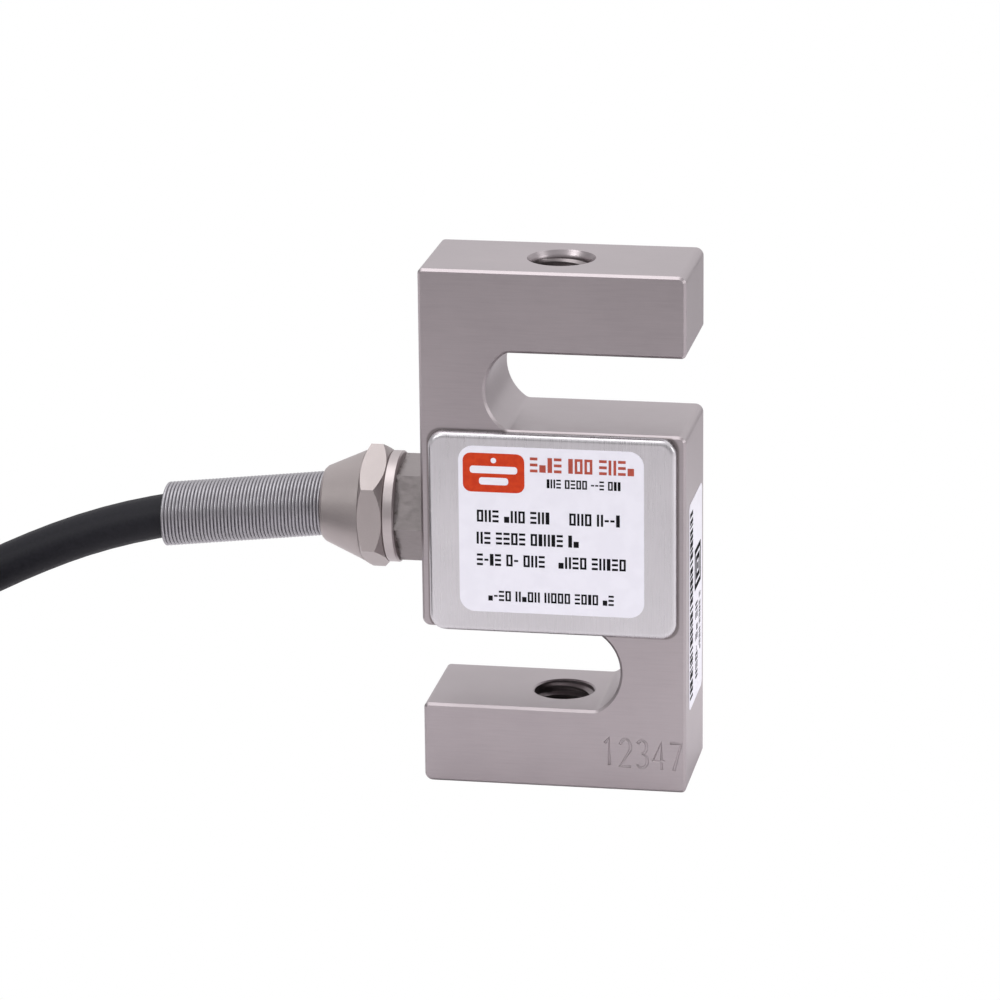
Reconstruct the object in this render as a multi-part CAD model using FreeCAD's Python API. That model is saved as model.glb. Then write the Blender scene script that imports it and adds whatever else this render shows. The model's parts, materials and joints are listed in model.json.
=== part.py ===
"""S-type load cell: an S-shaped spring element with two threaded holes on one axis, welded
covers over its strain gauge pockets, and a cable in a gland with a bend-relief spring.

Millimetres. +Z runs up the loading axis and +X to the open side of the upper slot. The
front cover faces -Y. The origin is the centre of the bottom face.
"""
import FreeCAD, Part
import math
import os
from FreeCAD import Vector

# ---- spring element -------------------------------------------------------------------
body_width = 52.5
body_thickness = 25.0
arm_height = 16.3
upper_slot_height = 15.5
lower_slot_height = 16.2
block_height = 40.7
spine_width = 13.05
slot_end_radius = 9.2
slot_corner_radius = 2.0
milled_corner_radius = 1.6
broken_corner_radius = 1.0
edge_chamfer = 0.5

# ---- threaded loading holes, M12 x 1.75 -------------------------------------------------
thread_radius = 6.0
countersink_width = 0.75
countersink_depth = 1.5
inner_mouth_chamfer = 0.3

# ---- gauge pockets and web --------------------------------------------------------------
pocket_radius = 13.0
web_thickness = 3.5
wire_passage_radius = 4.8
web_notch_depth = 1.2

# ---- covers and printed foils -----------------------------------------------------------
cover_width = 49.0
cover_height = 40.6
cover_rise = 1.8
cover_drop = 0.3
cover_sheet = 1.0
cover_corner_radius = 3.2
cover_edge_radius = 1.1
foil_thickness = 0.1
front_label_width = 36.6
front_label_height = 33.8
front_label_lift = 0.65
label_corner_radius = 3.0
side_label_width = 18.0
side_label_height = 42.4
side_label_shift = 0.8
side_label_drop = 16.15
side_label_corner_radius = 1.6

# ---- strain gauges, boards and their wires ----------------------------------------------
gauge_width = 6.0
gauge_height = 8.0
gauge_thickness = 0.15
gauge_spacing = 7.5
gauge_centre = 2.6
board_width = 4.0
board_height = 13.0
board_thickness = 0.8
board_inset = 2.5
resistor_width = 0.9
resistor_length = 1.6
resistor_height = 0.6
resistor_offset = 2.4
pad_offset = 4.5
pad_inset = 2.3
core_radius = 0.65
bundle_offset = 0.75
jacket_setback = 0.8
passage_fan = 1.6
passage_margin = 1.5
solder_gap = 0.05
link_radius = 0.4

# ---- gland ------------------------------------------------------------------------------
gland_rise = 0.25
spigot_radius = 7.0
spigot_length = 5.0
boss_flats = 18.5
boss_length = 5.95
boss_turn = -9.0
neck_radius = 8.0
neck_length = 7.55
gland_bore_radius = 4.7
ring_radius = 11.1
ring_thickness = 2.4
ring_edge = 0.3
nut_flats = 22.0
nut_hex_length = 4.9
nut_corner_angle = 30.0
nut_back_chamfer = 1.5
nut_cone_length = 7.9
nut_cone_radius = 11.1
nut_mouth_radius = 7.6
nut_lip_edge = 0.5
nut_web = 1.0
seal_radius = 6.8
seal_length = 4.3
washer_thickness = 1.0
spring_pocket_depth = 1.85
thread_clearance = 0.05
sliding_clearance = 0.05
grip_clearance = 0.03
end_play = 0.5

# ---- bend-relief spring -----------------------------------------------------------------
spring_radius = 6.45
spring_wire = 0.72
spring_turns = 47
spring_pitch = 0.73
spring_groove = 0.25
spring_tilt = 6.4
spring_root = 1.0

# ---- cable ------------------------------------------------------------------------------
cable_radius = 4.4
hank_end_x = -157.9
hank_straight = 66.0
hank_turn_step = 8.9
hank_layer_step = 8.9
hank_columns = 3
hank_layers = 3
hank_slack = 0.2
hank_fold_radius = 26.4
hank_edge_chamfer = 2.5
tie_thickness = 1.0
tie_width = 4.0
tie_spread = 59.0
tail_turn = 21.8
tail_clear_run = 30.0
tail_length = 10.0
bare_core_reach = 20.0
bare_core_ring = 2.3
bare_core_spread = 4.2
floor_gap = 0.1

# ---- worked out from the sizes above ----------------------------------------------------
body_height = 2 * arm_height + lower_slot_height + block_height + upper_slot_height
half_width = body_width / 2
half_thickness = body_thickness / 2
block_base = arm_height + lower_slot_height
block_top = block_base + block_height
block_centre = block_base + block_height / 2
upper_arm_base = body_height - arm_height
web_face = web_thickness / 2
cover_face = half_thickness + cover_rise
cover_centre = block_centre - cover_drop
gland_height = block_centre + gland_rise
boss_face = -half_width - boss_length
nut_back = boss_face - ring_thickness
neck_end = boss_face - neck_length
washer_face = neck_end - seal_length
nut_web_face = washer_face - washer_thickness
pocket_floor = nut_web_face - nut_web
nut_mouth = pocket_floor - spring_pocket_depth
jacket_end = boss_face - jacket_setback
hank_outer_turn = hank_fold_radius + (hank_columns - 1) * hank_turn_step
hank_middle = Vector(hank_end_x - hank_straight / 2, -hank_outer_turn, 0)
hank_floor = tie_thickness
hank_reach = cable_radius + hank_slack
low_turn_height = hank_floor + cable_radius + hank_slack / 2
high_turn_height = low_turn_height + (hank_layers - 1) * hank_layer_step
hank_top = high_turn_height + hank_reach
hank_inner_edge = hank_fold_radius - hank_reach
hank_outer_edge = hank_outer_turn + hank_reach

X_AXIS, Y_AXIS, Z_AXIS = Vector(1, 0, 0), Vector(0, 1, 0), Vector(0, 0, 1)
parts = {}


# ---- shape helpers ----------------------------------------------------------------------
def along(axis):
    """True for edges whose direction is along the axis."""
    def test(edge):
        ends = [v.Point for v in edge.Vertexes]
        return len(ends) == 2 and (ends[1] - ends[0]).cross(axis).Length < 1e-6
    return test


def edges_where(shape, *tests):
    return [e for e in shape.Edges if all(test(e) for test in tests)]


def centred_box(size, centre):
    corner = centre - size * 0.5
    return Part.makeBox(size.x, size.y, size.z, corner)


def rounded_plate(size, centre, axis, radius):
    """A box with its four edges along the axis rounded."""
    box = centred_box(size, centre)
    return box.makeFillet(radius, edges_where(box, along(axis)))


def rod(radius, start, end):
    return Part.makeCylinder(radius, (end - start).Length, start, end - start)


def turned(outline, height=0.0):
    """A turned piece on the gland's axis from (x, radius) corners."""
    corners = [Vector(x, 0, height + radius) for x, radius in outline]
    face = Part.Face(Part.makePolygon(corners + corners[:1]))
    return face.revolve(Vector(0, 0, height), X_AXIS, 360)


def hexagon_bar(flats, start, end, turn, height):
    """A hexagon along X. turn is the angle of one corner up from the front."""
    radius = flats / math.sqrt(3)
    corners = []
    for k in range(6):
        angle = math.radians(turn + 60 * k)
        corners.append(Vector(start, -radius * math.cos(angle),
                              height + radius * math.sin(angle)))
    face = Part.Face(Part.makePolygon(corners + corners[:1]))
    return face.extrude(Vector(end - start, 0, 0))


def bent_path(points, report=None):
    """Straight runs joined by tangent arcs as large as the runs allow."""
    edges, here, radii = [], points[0], []
    for before, corner, after in zip(points, points[1:], points[2:]):
        run_in, run_out = corner - before, after - corner
        half_turn = run_in.getAngle(run_out) / 2
        trim = 0.45 * min(run_in.Length, run_out.Length)
        radius = trim / math.tan(half_turn)
        radii.append(radius)
        run_in.normalize()
        run_out.normalize()
        arc_start, arc_end = corner - run_in * trim, corner + run_out * trim
        inward = (run_out - run_in).normalize()
        depth = radius / math.cos(half_turn) - radius
        edges.append(Part.LineSegment(here, arc_start).toShape())
        edges.append(Part.Arc(arc_start, corner + inward * depth, arc_end).toShape())
        here = arc_end
    edges.append(Part.LineSegment(here, points[-1]).toShape())
    if report:
        print(report, "bend radii", [round(r) for r in radii])
    return Part.Wire(edges)


def tube(points, radius, report=None):
    path = bent_path(points, report)
    section = Part.Wire(Part.makeCircle(radius, points[0], points[1] - points[0]))
    solid = path.makePipeShell([section], True, True)
    if report:
        share = solid.Volume / (math.pi * radius ** 2 * path.Length)
        print(report, "length", round(path.Length, 1), "volume over section times length",
              round(share, 4))
    return solid


# ---- spring element ---------------------------------------------------------------------
def slot_cutter(slot_height):
    """A slot under the upper arm: open to +X, closed by an arc with small corner radii."""
    low, high = upper_arm_base - slot_height, upper_arm_base
    bow = slot_end_radius - math.sqrt(slot_end_radius ** 2 - (slot_height / 2) ** 2)
    inner, outer = spine_width + bow - half_width, half_width + 1
    middle = Vector(inner - bow, -half_thickness, (low + high) / 2)
    a, b = Vector(inner, -half_thickness, low), Vector(inner, -half_thickness, high)
    c, d = Vector(outer, -half_thickness, high), Vector(outer, -half_thickness, low)
    wire = Part.Wire([Part.Arc(a, middle, b).toShape(), Part.makeLine(b, c),
                      Part.makeLine(c, d), Part.makeLine(d, a)])
    solid = Part.Face(wire).extrude(Vector(0, body_thickness, 0))
    closed_end = edges_where(solid, along(Y_AXIS),
                             lambda e: abs(e.Vertexes[0].X - inner) < 0.01)
    return solid.makeFillet(slot_corner_radius, closed_end)


def half_turned(shape):
    """The same shape turned half way round the Y axis through the body's centre."""
    copy = shape.copy()
    copy.rotate(Vector(0, 0, body_height / 2), Y_AXIS, 180)
    return copy


def at_corner(places):
    def test(edge):
        x, z = edge.Vertexes[0].X, edge.Vertexes[0].Z
        return any(abs(x - px) < 0.01 and abs(z - pz) < 0.01 for px, pz in places)
    return test


def threaded_hole(outer_mouth, inner_mouth):
    """Through hole with a deep countersink outside and a small chamfer in the slot."""
    step = 1 if outer_mouth > inner_mouth else -1
    corners = [
        (0, outer_mouth + step),
        (thread_radius + countersink_width, outer_mouth + step),
        (thread_radius + countersink_width, outer_mouth),
        (thread_radius, outer_mouth - step * countersink_depth),
        (thread_radius, inner_mouth + step * inner_mouth_chamfer),
        (thread_radius + inner_mouth_chamfer, inner_mouth),
        (thread_radius + inner_mouth_chamfer, inner_mouth - step),
        (0, inner_mouth - step),
    ]
    points = [Vector(r, 0, z) for r, z in corners]
    face = Part.Face(Part.makePolygon(points + points[:1]))
    return face.revolve(Vector(0, 0, 0), Z_AXIS, 360)


def s_beam_body():
    size = Vector(body_width, body_thickness, body_height)
    body = centred_box(size, Vector(0, 0, body_height / 2))
    body = body.cut(slot_cutter(upper_slot_height))
    body = body.cut(half_turned(slot_cutter(lower_slot_height)))
    milled = [(half_width, body_height), (half_width, block_top),
              (-half_width, 0), (-half_width, block_base)]
    broken = [(-half_width, body_height), (half_width, upper_arm_base), (half_width, 0),
              (-half_width, arm_height)]
    body = body.makeFillet(milled_corner_radius,
                           edges_where(body, along(Y_AXIS), at_corner(milled)))
    body = body.makeFillet(broken_corner_radius,
                           edges_where(body, along(Y_AXIS), at_corner(broken)))
    rims = [e for e in body.Edges
            if all(abs(abs(v.Y) - half_thickness) < 0.001 for v in e.Vertexes)
            and not along(Y_AXIS)(e)]
    body = body.makeChamfer(edge_chamfer, rims)

    holes = [threaded_hole(body_height, upper_arm_base),
             threaded_hole(0, arm_height)]
    for side in (-1, 1):
        holes.append(rod(pocket_radius, Vector(0, side * web_face, block_centre),
                         Vector(0, side * (half_thickness + 1), block_centre)))
    holes.append(rod(spigot_radius + thread_clearance, Vector(-half_width - 1, 0, gland_height),
                     Vector(-half_width + spigot_length + end_play, 0, gland_height)))
    holes.append(rod(wire_passage_radius, Vector(-half_width, 0, gland_height),
                     Vector(-pocket_radius + web_notch_depth, 0, gland_height)))
    for hole in holes:
        body = body.cut(hole)
    return body


# ---- covers and foils -------------------------------------------------------------------
def cover(side):
    """A pressed pan. side is -1 for the front and 1 for the back."""
    outer = rounded_plate(Vector(cover_width, cover_rise, cover_height),
                          Vector(0, side * (half_thickness + cover_rise / 2), cover_centre),
                          Y_AXIS, cover_corner_radius)
    rim = [e for e in outer.Edges
           if all(abs(v.Y - side * cover_face) < 0.001 for v in e.Vertexes)]
    outer = outer.makeFillet(cover_edge_radius, rim)
    depth = cover_rise - cover_sheet
    hollow = rounded_plate(
        Vector(cover_width - 2 * cover_sheet, depth, cover_height - 2 * cover_sheet),
        Vector(0, side * (half_thickness + depth / 2), cover_centre),
        Y_AXIS, cover_corner_radius - cover_sheet)
    return outer.cut(hollow)


def front_label():
    return rounded_plate(Vector(front_label_width, foil_thickness, front_label_height),
                         Vector(0, -cover_face - foil_thickness / 2,
                                block_centre + front_label_lift),
                         Y_AXIS, label_corner_radius)


def side_label():
    return rounded_plate(Vector(foil_thickness, side_label_width, side_label_height),
                         Vector(half_width + foil_thickness / 2, side_label_shift,
                                block_centre - side_label_drop),
                         X_AXIS, side_label_corner_radius)


# ---- gauges, boards and inner wires -----------------------------------------------------
def strain_gauge(side, place):
    """One foil gauge on the web. place is -1 or 1 along X."""
    centre = Vector(gauge_centre + place * gauge_spacing / 2,
                    side * (web_face + gauge_thickness / 2), block_centre)
    return centred_box(Vector(gauge_width, gauge_thickness, gauge_height), centre)


board_x = -pocket_radius + board_inset + board_width / 2
board_face = web_face + board_thickness


def terminal_board(side):
    return centred_box(Vector(board_width, board_thickness, board_height),
                       Vector(board_x, side * (web_face + board_thickness / 2), block_centre))


def trim_resistor(side):
    return centred_box(Vector(resistor_width, resistor_height, resistor_length),
                       Vector(board_x, side * (board_face + resistor_height / 2),
                              block_centre + resistor_offset))


def inner_lead(side, rise):
    """A core from the end of the jacket, through the passage, to its pad."""
    outward = side * (board_face + solder_gap + core_radius)
    in_bundle = Vector(0, side * bundle_offset, gland_height + rise * bundle_offset)
    points = [
        Vector(jacket_end, 0, 0) + in_bundle,
        Vector(-half_width + passage_margin, 0, 0) + in_bundle,
        Vector(-pocket_radius, outward, gland_height + rise * passage_fan),
        Vector(board_x - board_width / 2 + pad_inset, outward,
               block_centre + rise * pad_offset),
    ]
    return tube(points, core_radius)


def bridge_link():
    """The wire between the two boards, round the notch in the web."""
    reach = board_face + solder_gap + link_radius
    turn_x = -pocket_radius - link_radius
    points = [
        Vector(board_x, -reach, gland_height),
        Vector(turn_x, -reach, gland_height),
        Vector(turn_x, reach, gland_height),
        Vector(board_x, reach, gland_height),
    ]
    return tube(points, link_radius)


# ---- gland ------------------------------------------------------------------------------
def gland_boss():
    """Hexagon fitting: spigot in the body, hexagon outside, neck for the nut."""
    boss = hexagon_bar(boss_flats, -half_width, boss_face, boss_turn, gland_height)
    spigot_end = Vector(-half_width + spigot_length, 0, gland_height)
    boss = boss.fuse(rod(spigot_radius, Vector(-half_width, 0, gland_height), spigot_end))
    boss = boss.fuse(rod(neck_radius, Vector(boss_face, 0, gland_height),
                         Vector(neck_end, 0, gland_height)))
    bore = rod(gland_bore_radius, Vector(neck_end - 1, 0, gland_height),
               spigot_end + X_AXIS)
    return boss.cut(bore).removeSplitter()


def gland_ring():
    bore = neck_radius + thread_clearance
    return turned([(boss_face, bore), (boss_face, ring_radius - ring_edge),
                   (boss_face - ring_edge, ring_radius),
                   (nut_back + ring_edge, ring_radius),
                   (nut_back, ring_radius - ring_edge), (nut_back, bore)], gland_height)


def gland_nut():
    """Hexagon nut with chamfered corners that runs into a cone."""
    corner_radius = nut_flats / math.sqrt(3)
    chamfer = (corner_radius - nut_flats / 2) * math.tan(math.radians(nut_corner_angle))
    hex_end = nut_back - nut_hex_length
    prism = hexagon_bar(nut_flats, nut_back, hex_end, 90.0, gland_height)
    turned_blank = turned([(nut_back, 0), (nut_back, nut_flats / 2),
                           (nut_back - nut_back_chamfer, corner_radius),
                           (hex_end + chamfer, corner_radius),
                           (hex_end, nut_flats / 2), (hex_end, 0)], gland_height)
    cone_end = hex_end - nut_cone_length
    lip_radius = nut_mouth_radius - nut_lip_edge
    cone = turned([(hex_end, 0), (hex_end, nut_cone_radius), (cone_end, nut_mouth_radius),
                   (cone_end - nut_lip_edge, lip_radius), (nut_mouth, lip_radius),
                   (nut_mouth, 0)], gland_height)
    nut = prism.common(turned_blank).fuse(cone)

    neck_hole = neck_radius + thread_clearance
    seal_hole = seal_radius + sliding_clearance
    cable_hole = gland_bore_radius
    bore = turned([(nut_back + 1, 0), (nut_back + 1, neck_hole),
                   (neck_end - end_play, neck_hole), (neck_end - end_play, seal_hole),
                   (nut_web_face, seal_hole), (nut_web_face, cable_hole),
                   (pocket_floor, cable_hole), (pocket_floor, seal_hole),
                   (nut_mouth - 1, seal_hole), (nut_mouth - 1, 0)], gland_height)
    return nut.cut(bore).removeSplitter()


def gland_seal():
    """Rubber bush with a raised band in the middle of its bore's length."""
    grip = cable_radius + grip_clearance
    waist = seal_radius - 0.4
    third = seal_length / 3
    return turned([(neck_end, grip), (neck_end, waist), (neck_end - third, seal_radius),
                   (neck_end - 2 * third, seal_radius), (washer_face, waist),
                   (washer_face, grip)], gland_height)


def thrust_washer():
    return turned([(washer_face, gland_bore_radius), (washer_face, seal_radius),
                   (nut_web_face, seal_radius), (nut_web_face, gland_bore_radius)],
                  gland_height)


def strain_relief_spring():
    """Close-wound spring: each turn is a crest with a groove each side."""
    root = nut_mouth + spring_root
    tip = root - spring_turns * spring_pitch
    bore = spring_radius - spring_wire
    outline = [(root, bore), (root, spring_radius - spring_groove)]
    for turn in range(spring_turns):
        start = root - turn * spring_pitch
        outline.append((start - spring_pitch / 2, spring_radius))
        outline.append((start - spring_pitch, spring_radius - spring_groove))
    outline.append((tip, bore))
    spring = turned(outline, gland_height)
    spring.rotate(Vector(nut_mouth, 0, gland_height), Y_AXIS, -spring_tilt)
    return spring


# ---- cable ------------------------------------------------------------------------------
falling, near_table = Vector(-113.0, 0, 38.2), Vector(-133.5, 0, 27.0)
lead_in = (falling + near_table) * 0.5
cable_route = [
    Vector(jacket_end, 0, gland_height),
    Vector(-50.0, 0, gland_height),
    Vector(-73.0, 0, 50.9),
    Vector(-93.5, 0, 46.3),
    falling,
    lead_in,
]
onto_hank = [
    lead_in,
    near_table,
    Vector(-146.0, 0, 23.8),
    Vector(hank_end_x, 0, high_turn_height),
]
tail_direction = Vector(-math.cos(math.radians(tail_turn)), -math.sin(math.radians(tail_turn)), 0)
tail_start = Vector(hank_end_x, hank_middle.y + hank_fold_radius, low_turn_height)
tail_free = tail_start + tail_direction * tail_clear_run
tail_end = tail_free + tail_direction * tail_length


def oval(radius, low, high):
    """A bar with straight sides and round ends, flat between two heights."""
    half = hank_straight / 2
    right, left = Vector(half, 0, 0), Vector(-half, 0, 0)
    side, end = Vector(0, radius, 0), Vector(radius, 0, 0)
    outline = Part.Wire([Part.makeLine(left - side, right - side),
                         Part.Arc(right - side, right + end, right + side).toShape(),
                         Part.makeLine(right + side, left + side),
                         Part.Arc(left + side, left - end, left - side).toShape()])
    bar = Part.Face(outline).extrude(Vector(0, 0, high - low))
    bar.translate(hank_middle + Vector(0, 0, low))
    return bar


def cable_coil():
    """The hank: one oval ring for its wound turns, with the cable's two ends."""
    ring = oval(hank_outer_edge, hank_floor, hank_top)
    ring = ring.cut(oval(hank_inner_edge, hank_floor, hank_top))
    rims = [e for e in ring.Edges if not along(Z_AXIS)(e)]
    ring = ring.makeChamfer(hank_edge_chamfer, rims)
    arriving = tube(onto_hank, cable_radius, "onto the hank")
    leaving = rod(cable_radius, tail_start, tail_free)
    return ring.fuse(arriving).fuse(leaving)


def chamfered_bar(width, low, high, centre_x, half_depth, chamfer):
    """A bar across the hank with its four long edges chamfered."""
    bar = centred_box(Vector(width, 2 * half_depth, high - low),
                      Vector(centre_x, hank_middle.y, (low + high) / 2))
    return bar.makeChamfer(chamfer, edges_where(bar, along(X_AXIS)))


def coil_tie(place):
    """A strap round the whole hank. place is -1 or 1 along X."""
    centre_x = hank_middle.x + place * tie_spread / 2
    outer_chamfer = hank_edge_chamfer + tie_thickness * (2 - math.sqrt(2))
    strap = chamfered_bar(tie_width, hank_floor - tie_thickness, hank_top + tie_thickness,
                          centre_x, hank_outer_edge + tie_thickness, outer_chamfer)
    inside = chamfered_bar(tie_width + 2, hank_floor, hank_top, centre_x, hank_outer_edge,
                           hank_edge_chamfer)
    return strap.cut(inside)


def bare_core(place):
    """One stripped core. place runs from -2 to 2 across the fan."""
    angle = math.radians(90 - 60 * place)
    across = Z_AXIS.cross(tail_direction).normalize()
    upward = tail_direction.cross(across)
    start = (tail_end + across * (bare_core_ring * math.cos(angle))
             + upward * (bare_core_ring * math.sin(angle)))
    bend = start + tail_direction * (bare_core_reach * 0.4)
    tip = tail_end + tail_direction * bare_core_reach + across * (place * bare_core_spread)
    tip.z = core_radius + floor_gap
    return tube([start, bend, tip], core_radius)


# ---- all pieces -------------------------------------------------------------------------
parts["s_beam_body"] = s_beam_body()
parts["front_cover"] = cover(-1)
parts["back_cover"] = cover(1)
parts["front_label"] = front_label()
parts["side_label"] = side_label()

gauge_places = [(-1, -1), (-1, 1), (1, -1), (1, 1)]
for number, (side, place) in enumerate(gauge_places, start=1):
    parts["strain_gauge_%d" % number] = strain_gauge(side, place)
parts["terminal_board_front"] = terminal_board(-1)
parts["terminal_board_back"] = terminal_board(1)
parts["balance_resistor"] = trim_resistor(-1)
parts["span_resistor"] = trim_resistor(1)
parts["lead_red"] = inner_lead(-1, 1)
parts["lead_black"] = inner_lead(-1, -1)
parts["lead_green"] = inner_lead(1, 1)
parts["lead_white"] = inner_lead(1, -1)
parts["bridge_link"] = bridge_link()

parts["gland_boss"] = gland_boss()
parts["gland_ring"] = gland_ring()
parts["gland_nut"] = gland_nut()
parts["gland_seal"] = gland_seal()
parts["thrust_washer"] = thrust_washer()
parts["strain_relief_spring"] = strain_relief_spring()

parts["cable"] = tube(cable_route, cable_radius, "cable")
parts["cable_coil"] = cable_coil()
parts["cable_tail"] = rod(cable_radius, tail_free, tail_end)
parts["coil_tie_1"] = coil_tie(-1)
parts["coil_tie_2"] = coil_tie(1)
core_names = ["core_red", "core_black", "shield_drain", "core_green", "core_white"]
for place, name in enumerate(core_names, start=-2):
    parts[name] = bare_core(place)

os.makedirs("parts", exist_ok=True)
for name, shape in parts.items():
    solid = shape.Solids[0] if len(shape.Solids) == 1 else shape
    print(name, "solids", len(shape.Solids), "valid", shape.isValid(),
          "volume", round(shape.Volume, 2))
    solid.exportStep("parts/%s.step" % name)
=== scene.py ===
# %% [markdown]
# # S-type load cell
# This force sensor is a steel block with two slots, whose thin middle bends a little when
# the arms are pulled or pressed. The frame file gives every solid of it in metres, with +Z
# up the loading axis. All of it could be modelled again here, but then it would no longer
# fit the solids. So this notebook only dresses them. It adds what is too fine for them, such
# as the threads, the digits, the print and the wound spring, and it gives each piece its
# finish, and sets the camera and the light.

# %% Setup
import json
import math
import random

import bmesh
import bpy
from mathutils import Matrix, Vector


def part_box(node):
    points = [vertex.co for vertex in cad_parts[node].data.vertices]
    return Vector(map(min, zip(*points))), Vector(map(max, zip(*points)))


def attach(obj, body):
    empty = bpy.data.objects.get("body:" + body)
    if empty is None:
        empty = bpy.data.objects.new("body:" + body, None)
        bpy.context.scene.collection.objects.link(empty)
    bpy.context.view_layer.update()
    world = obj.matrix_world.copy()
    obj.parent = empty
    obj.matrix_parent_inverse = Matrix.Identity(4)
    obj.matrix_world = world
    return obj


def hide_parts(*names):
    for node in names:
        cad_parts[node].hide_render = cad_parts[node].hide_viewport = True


# Sizes are in millimetres unless a comment says otherwise, and MM turns them into metres.
MM = 0.001

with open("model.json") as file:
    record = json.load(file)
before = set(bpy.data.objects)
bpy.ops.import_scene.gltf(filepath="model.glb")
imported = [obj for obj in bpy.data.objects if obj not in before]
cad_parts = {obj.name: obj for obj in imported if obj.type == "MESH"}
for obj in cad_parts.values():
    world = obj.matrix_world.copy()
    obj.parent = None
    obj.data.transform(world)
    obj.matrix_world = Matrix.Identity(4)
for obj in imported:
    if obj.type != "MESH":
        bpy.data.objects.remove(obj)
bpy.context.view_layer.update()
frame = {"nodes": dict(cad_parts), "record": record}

# %% [markdown]
# ## Camera
# A long lens from far away keeps upright edges nearly parallel, as a catalogue shows them.
# A camera can be aimed with a Track To constraint. Here its direction is worked out from
# two angles and a roll, because those are easy to read and to change. It looks from the
# front, a little from the right and above, and the cable leaves on the left.

# %% Camera
# The place and the clipping are in metres, the angles in degrees.
CAMERA_AT = Vector((0.14943, -0.88671, 0.32594))
CAMERA_AZIMUTH, CAMERA_ELEVATION, CAMERA_ROLL = 10.362, 16.718, -0.629
CAMERA_LENS, SENSOR_WIDTH = 170.98, 36.0
CLIP_START, CLIP_END = 0.05, 20.0

azimuth, elevation = math.radians(CAMERA_AZIMUTH), math.radians(CAMERA_ELEVATION)
camera = bpy.data.objects.new("camera", bpy.data.cameras.new("camera"))
camera.data.lens = CAMERA_LENS
camera.data.sensor_width = SENSOR_WIDTH
camera.data.clip_start = CLIP_START
camera.data.clip_end = CLIP_END
towards = Vector((math.sin(azimuth) * math.cos(elevation),
                  -math.cos(azimuth) * math.cos(elevation), math.sin(elevation)))
turn = towards.to_track_quat("Z", "Y").to_matrix() @ Matrix.Rotation(
    math.radians(CAMERA_ROLL), 3, "Z")
camera.matrix_world = Matrix.Translation(CAMERA_AT) @ turn.to_4x4()
bpy.context.collection.objects.link(camera)
bpy.context.scene.camera = camera
print("camera", round(CAMERA_AT.length, 3), "m from the origin, lens", CAMERA_LENS, "mm")

# %% [markdown]
# ## Cable: its size and its first run
# The real one is a round black cable, about 3 m long, with four cores and a shield. It could
# be a simulated rope, but a curve through chosen points comes out the same each time and
# can be measured. It starts inside the hexagon fitting, passes the seal, the nut and the
# spring, and falls to the table in a gentle S.

# %% Cable: its size and its first run
CABLE_RADIUS = 4.4
CABLE_RUN = [(-33.0, 0, 53.1), (-50.0, 0, 53.1), (-73.0, 0, 50.9), (-93.5, 0, 46.3),
             (-113.0, 0, 38.2), (-133.5, 0, 27.0), (-146.0, 0, 23.8)]
print("first run", len(CABLE_RUN), "points, diameter", 2 * CABLE_RADIUS, "mm")

# %% [markdown]
# ## Cable: places in the hank
# The rest of the cable is wound by hand into a tied oval hank, three turns wide and three
# high. Each turn keeps one place in that stack round an end, and moves to the next on a
# straight side. The turn ahead has to move first, or the two would pass through each other.
# So each turn gets a lag, as a share of one move, found by trying until all turns stayed a
# diameter apart.

# %% Cable: places in the hank
# Both ends' centres along X, and the hank's middle line along Y.
HANK_RIGHT, HANK_LEFT, HANK_MIDDLE = -157.9, -223.9, -44.2
# The radii of the three turns in a layer, and the heights of the three layers.
OUTER, MIDDLE, INNER = 44.2, 35.3, 26.4
TOP, CENTRE, BOTTOM = 23.3, 14.4, 5.5
# Each turn's radius and height: at the start of the first straight side, round the left end
# and at the start of the second side, then round the right end. The last number is its lag,
# which lets the turn ahead clear the place first.
HANK_TURNS = [
    ((OUTER, TOP), (OUTER, TOP), (MIDDLE, TOP), 0.72),
    ((MIDDLE, TOP), (MIDDLE, TOP), (INNER, TOP), 0.64),
    ((INNER, TOP), (INNER, TOP), (INNER, CENTRE), 0.36),
    ((INNER, CENTRE), (INNER, CENTRE), (MIDDLE, CENTRE), 0.08),
    ((MIDDLE, CENTRE), (MIDDLE, CENTRE), (OUTER, CENTRE), 0.0),
    ((OUTER, CENTRE), (OUTER, BOTTOM), (OUTER, BOTTOM), 0.36),
    ((OUTER, BOTTOM), (MIDDLE, BOTTOM), (MIDDLE, BOTTOM), 0.08),
    ((MIDDLE, BOTTOM), (INNER, BOTTOM), (INNER, BOTTOM), 0.0),
]
# Degrees from corner to corner round an end, and steps along a side.
END_STEP = 15.0
SIDE_STEPS = 14
# Where on a side a move without a lag begins, and how long a move is.
MOVE_START, MOVE_LENGTH = 1.5, 36.5
print(len(HANK_TURNS), "turns, layers", TOP - CENTRE, "mm apart")

# %% [markdown]
# ## Cable: the hank's ends
# A turn could be a spiral formula. It is two half circles and two straight sides here,
# because that is the form a hank takes between two hands. A smooth curve of order three
# touches each edge of its control polygon at the middle. So corners on a slightly larger
# circle give a round of the wanted radius.

# %% Cable: the hank's ends
def end_points(centre_x, first_angle, place):
    """Corners round one end of the hank, whose curve has the place's radius."""
    radius, height = place
    corner = radius / math.cos(math.radians(END_STEP / 2))
    angles = [first_angle + END_STEP * (k + 0.5) for k in range(round(180 / END_STEP))]
    return [(centre_x + corner * math.cos(math.radians(a)),
             HANK_MIDDLE + corner * math.sin(math.radians(a)), height) for a in angles]


# %% [markdown]
# ## Cable: the hank's straight sides
# On a side the cable also crosses to its next place. It could cross in a straight slant, but
# that would kink it at both ends. A move that is two arcs of one bend bends it least.

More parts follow.
